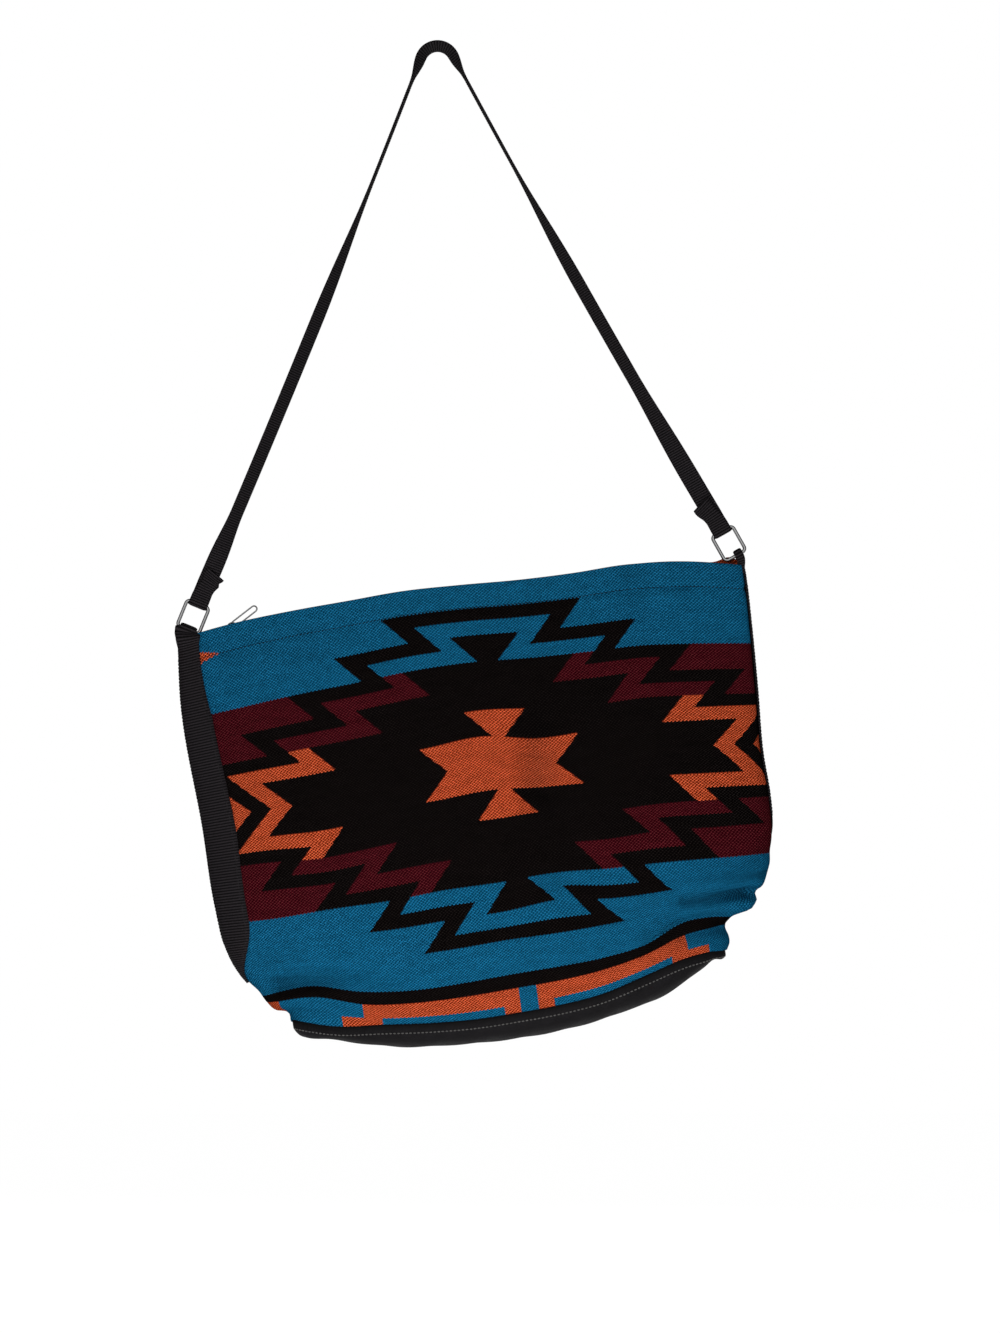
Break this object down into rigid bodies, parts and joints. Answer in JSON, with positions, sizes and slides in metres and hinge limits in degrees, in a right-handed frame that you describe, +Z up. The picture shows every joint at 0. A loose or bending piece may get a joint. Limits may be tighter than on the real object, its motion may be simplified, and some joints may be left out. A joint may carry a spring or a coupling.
{
  "type": "shoulder bag",
  "caption": "Flat woven cloth shoulder bag with a stepped star design, zipped top, dark base and side webbing, hanging by a webbing strap on wire rings.",
  "frame": {"origin": "underside of the strap at the top of its bend, where the bag is hung", "axes": "+Z up, -Y towards the front of the bag, +X to the right as seen from the front"},
  "size_m": [0.5177, 0.0927, 0.8527],
  "materials": {
    "ground_cloth": "matt black woven cotton ground",
    "teal_yarn": "matt teal woven yarn",
    "maroon_yarn": "matt maroon woven yarn",
    "orange_yarn": "matt orange woven yarn",
    "black_webbing": "black ribbed webbing with a slight sheen",
    "base_cloth": "black coated base cloth",
    "steel": "polished nickel-plated steel",
    "zip_tape": "black zip tape and coil"
  },
  "bodies": {
    "strap": {"strap": "black_webbing", "left_ring": "steel", "right_ring": "steel"},
    "bag": {"front_panel": "ground_cloth", "back_panel": "ground_cloth", "base_panel": "base_cloth", "left_side_webbing": "black_webbing", "right_side_webbing": "black_webbing", "teal_top_field": "teal_yarn", "teal_top_band": "teal_yarn", "orange_corner": "orange_yarn", "maroon_upper_field_1": "maroon_yarn", "maroon_upper_field_2": "maroon_yarn", "maroon_upper_band_1": "maroon_yarn", "maroon_upper_band_2": "maroon_yarn", "orange_side_field_1": "orange_yarn", "orange_side_field_2": "orange_yarn", "orange_side_band_1": "orange_yarn", "orange_side_band_2": "orange_yarn", "orange_star": "orange_yarn", "maroon_lower_band_1": "maroon_yarn", "maroon_lower_band_2": "maroon_yarn", "maroon_lower_field_1": "maroon_yarn", "maroon_lower_field_2": "maroon_yarn", "teal_lower_band": "teal_yarn", "teal_lower_field": "teal_yarn", "orange_border_1": "orange_yarn", "orange_border_2": "orange_yarn", "teal_border_1": "teal_yarn", "teal_border_2": "teal_yarn", "teal_border_3": "teal_yarn", "teal_border_4": "teal_yarn", "teal_border_5": "teal_yarn", "zip_tape_front": "zip_tape", "zip_tape_back": "zip_tape", "zip_coil_front": "zip_tape", "zip_coil_back": "zip_tape", "zip_stop_closed": "steel", "zip_stop_open": "steel"},
    "slider": {"zip_slider": "steel"},
    "pull": {"zip_pull": "steel"}
  },
  "joints": [
    {"name": "bag_swing", "type": "hinge", "parent": "strap", "child": "bag", "pos_m": [0.0206, 0, -0.464], "axis": [0.991, 0, 0.134], "range_deg": [-30, 30]},
    {"name": "zip_slide", "type": "slide", "parent": "bag", "child": "slider", "axis": [0.991, 0, 0.134], "range_m": [0, 0.374]},
    {"name": "pull_swing", "type": "hinge", "parent": "slider", "child": "pull", "pos_m": [-0.17461, 0, -0.49201], "axis": [0, -1, 0], "range_deg": [0, 75]}
  ]
}
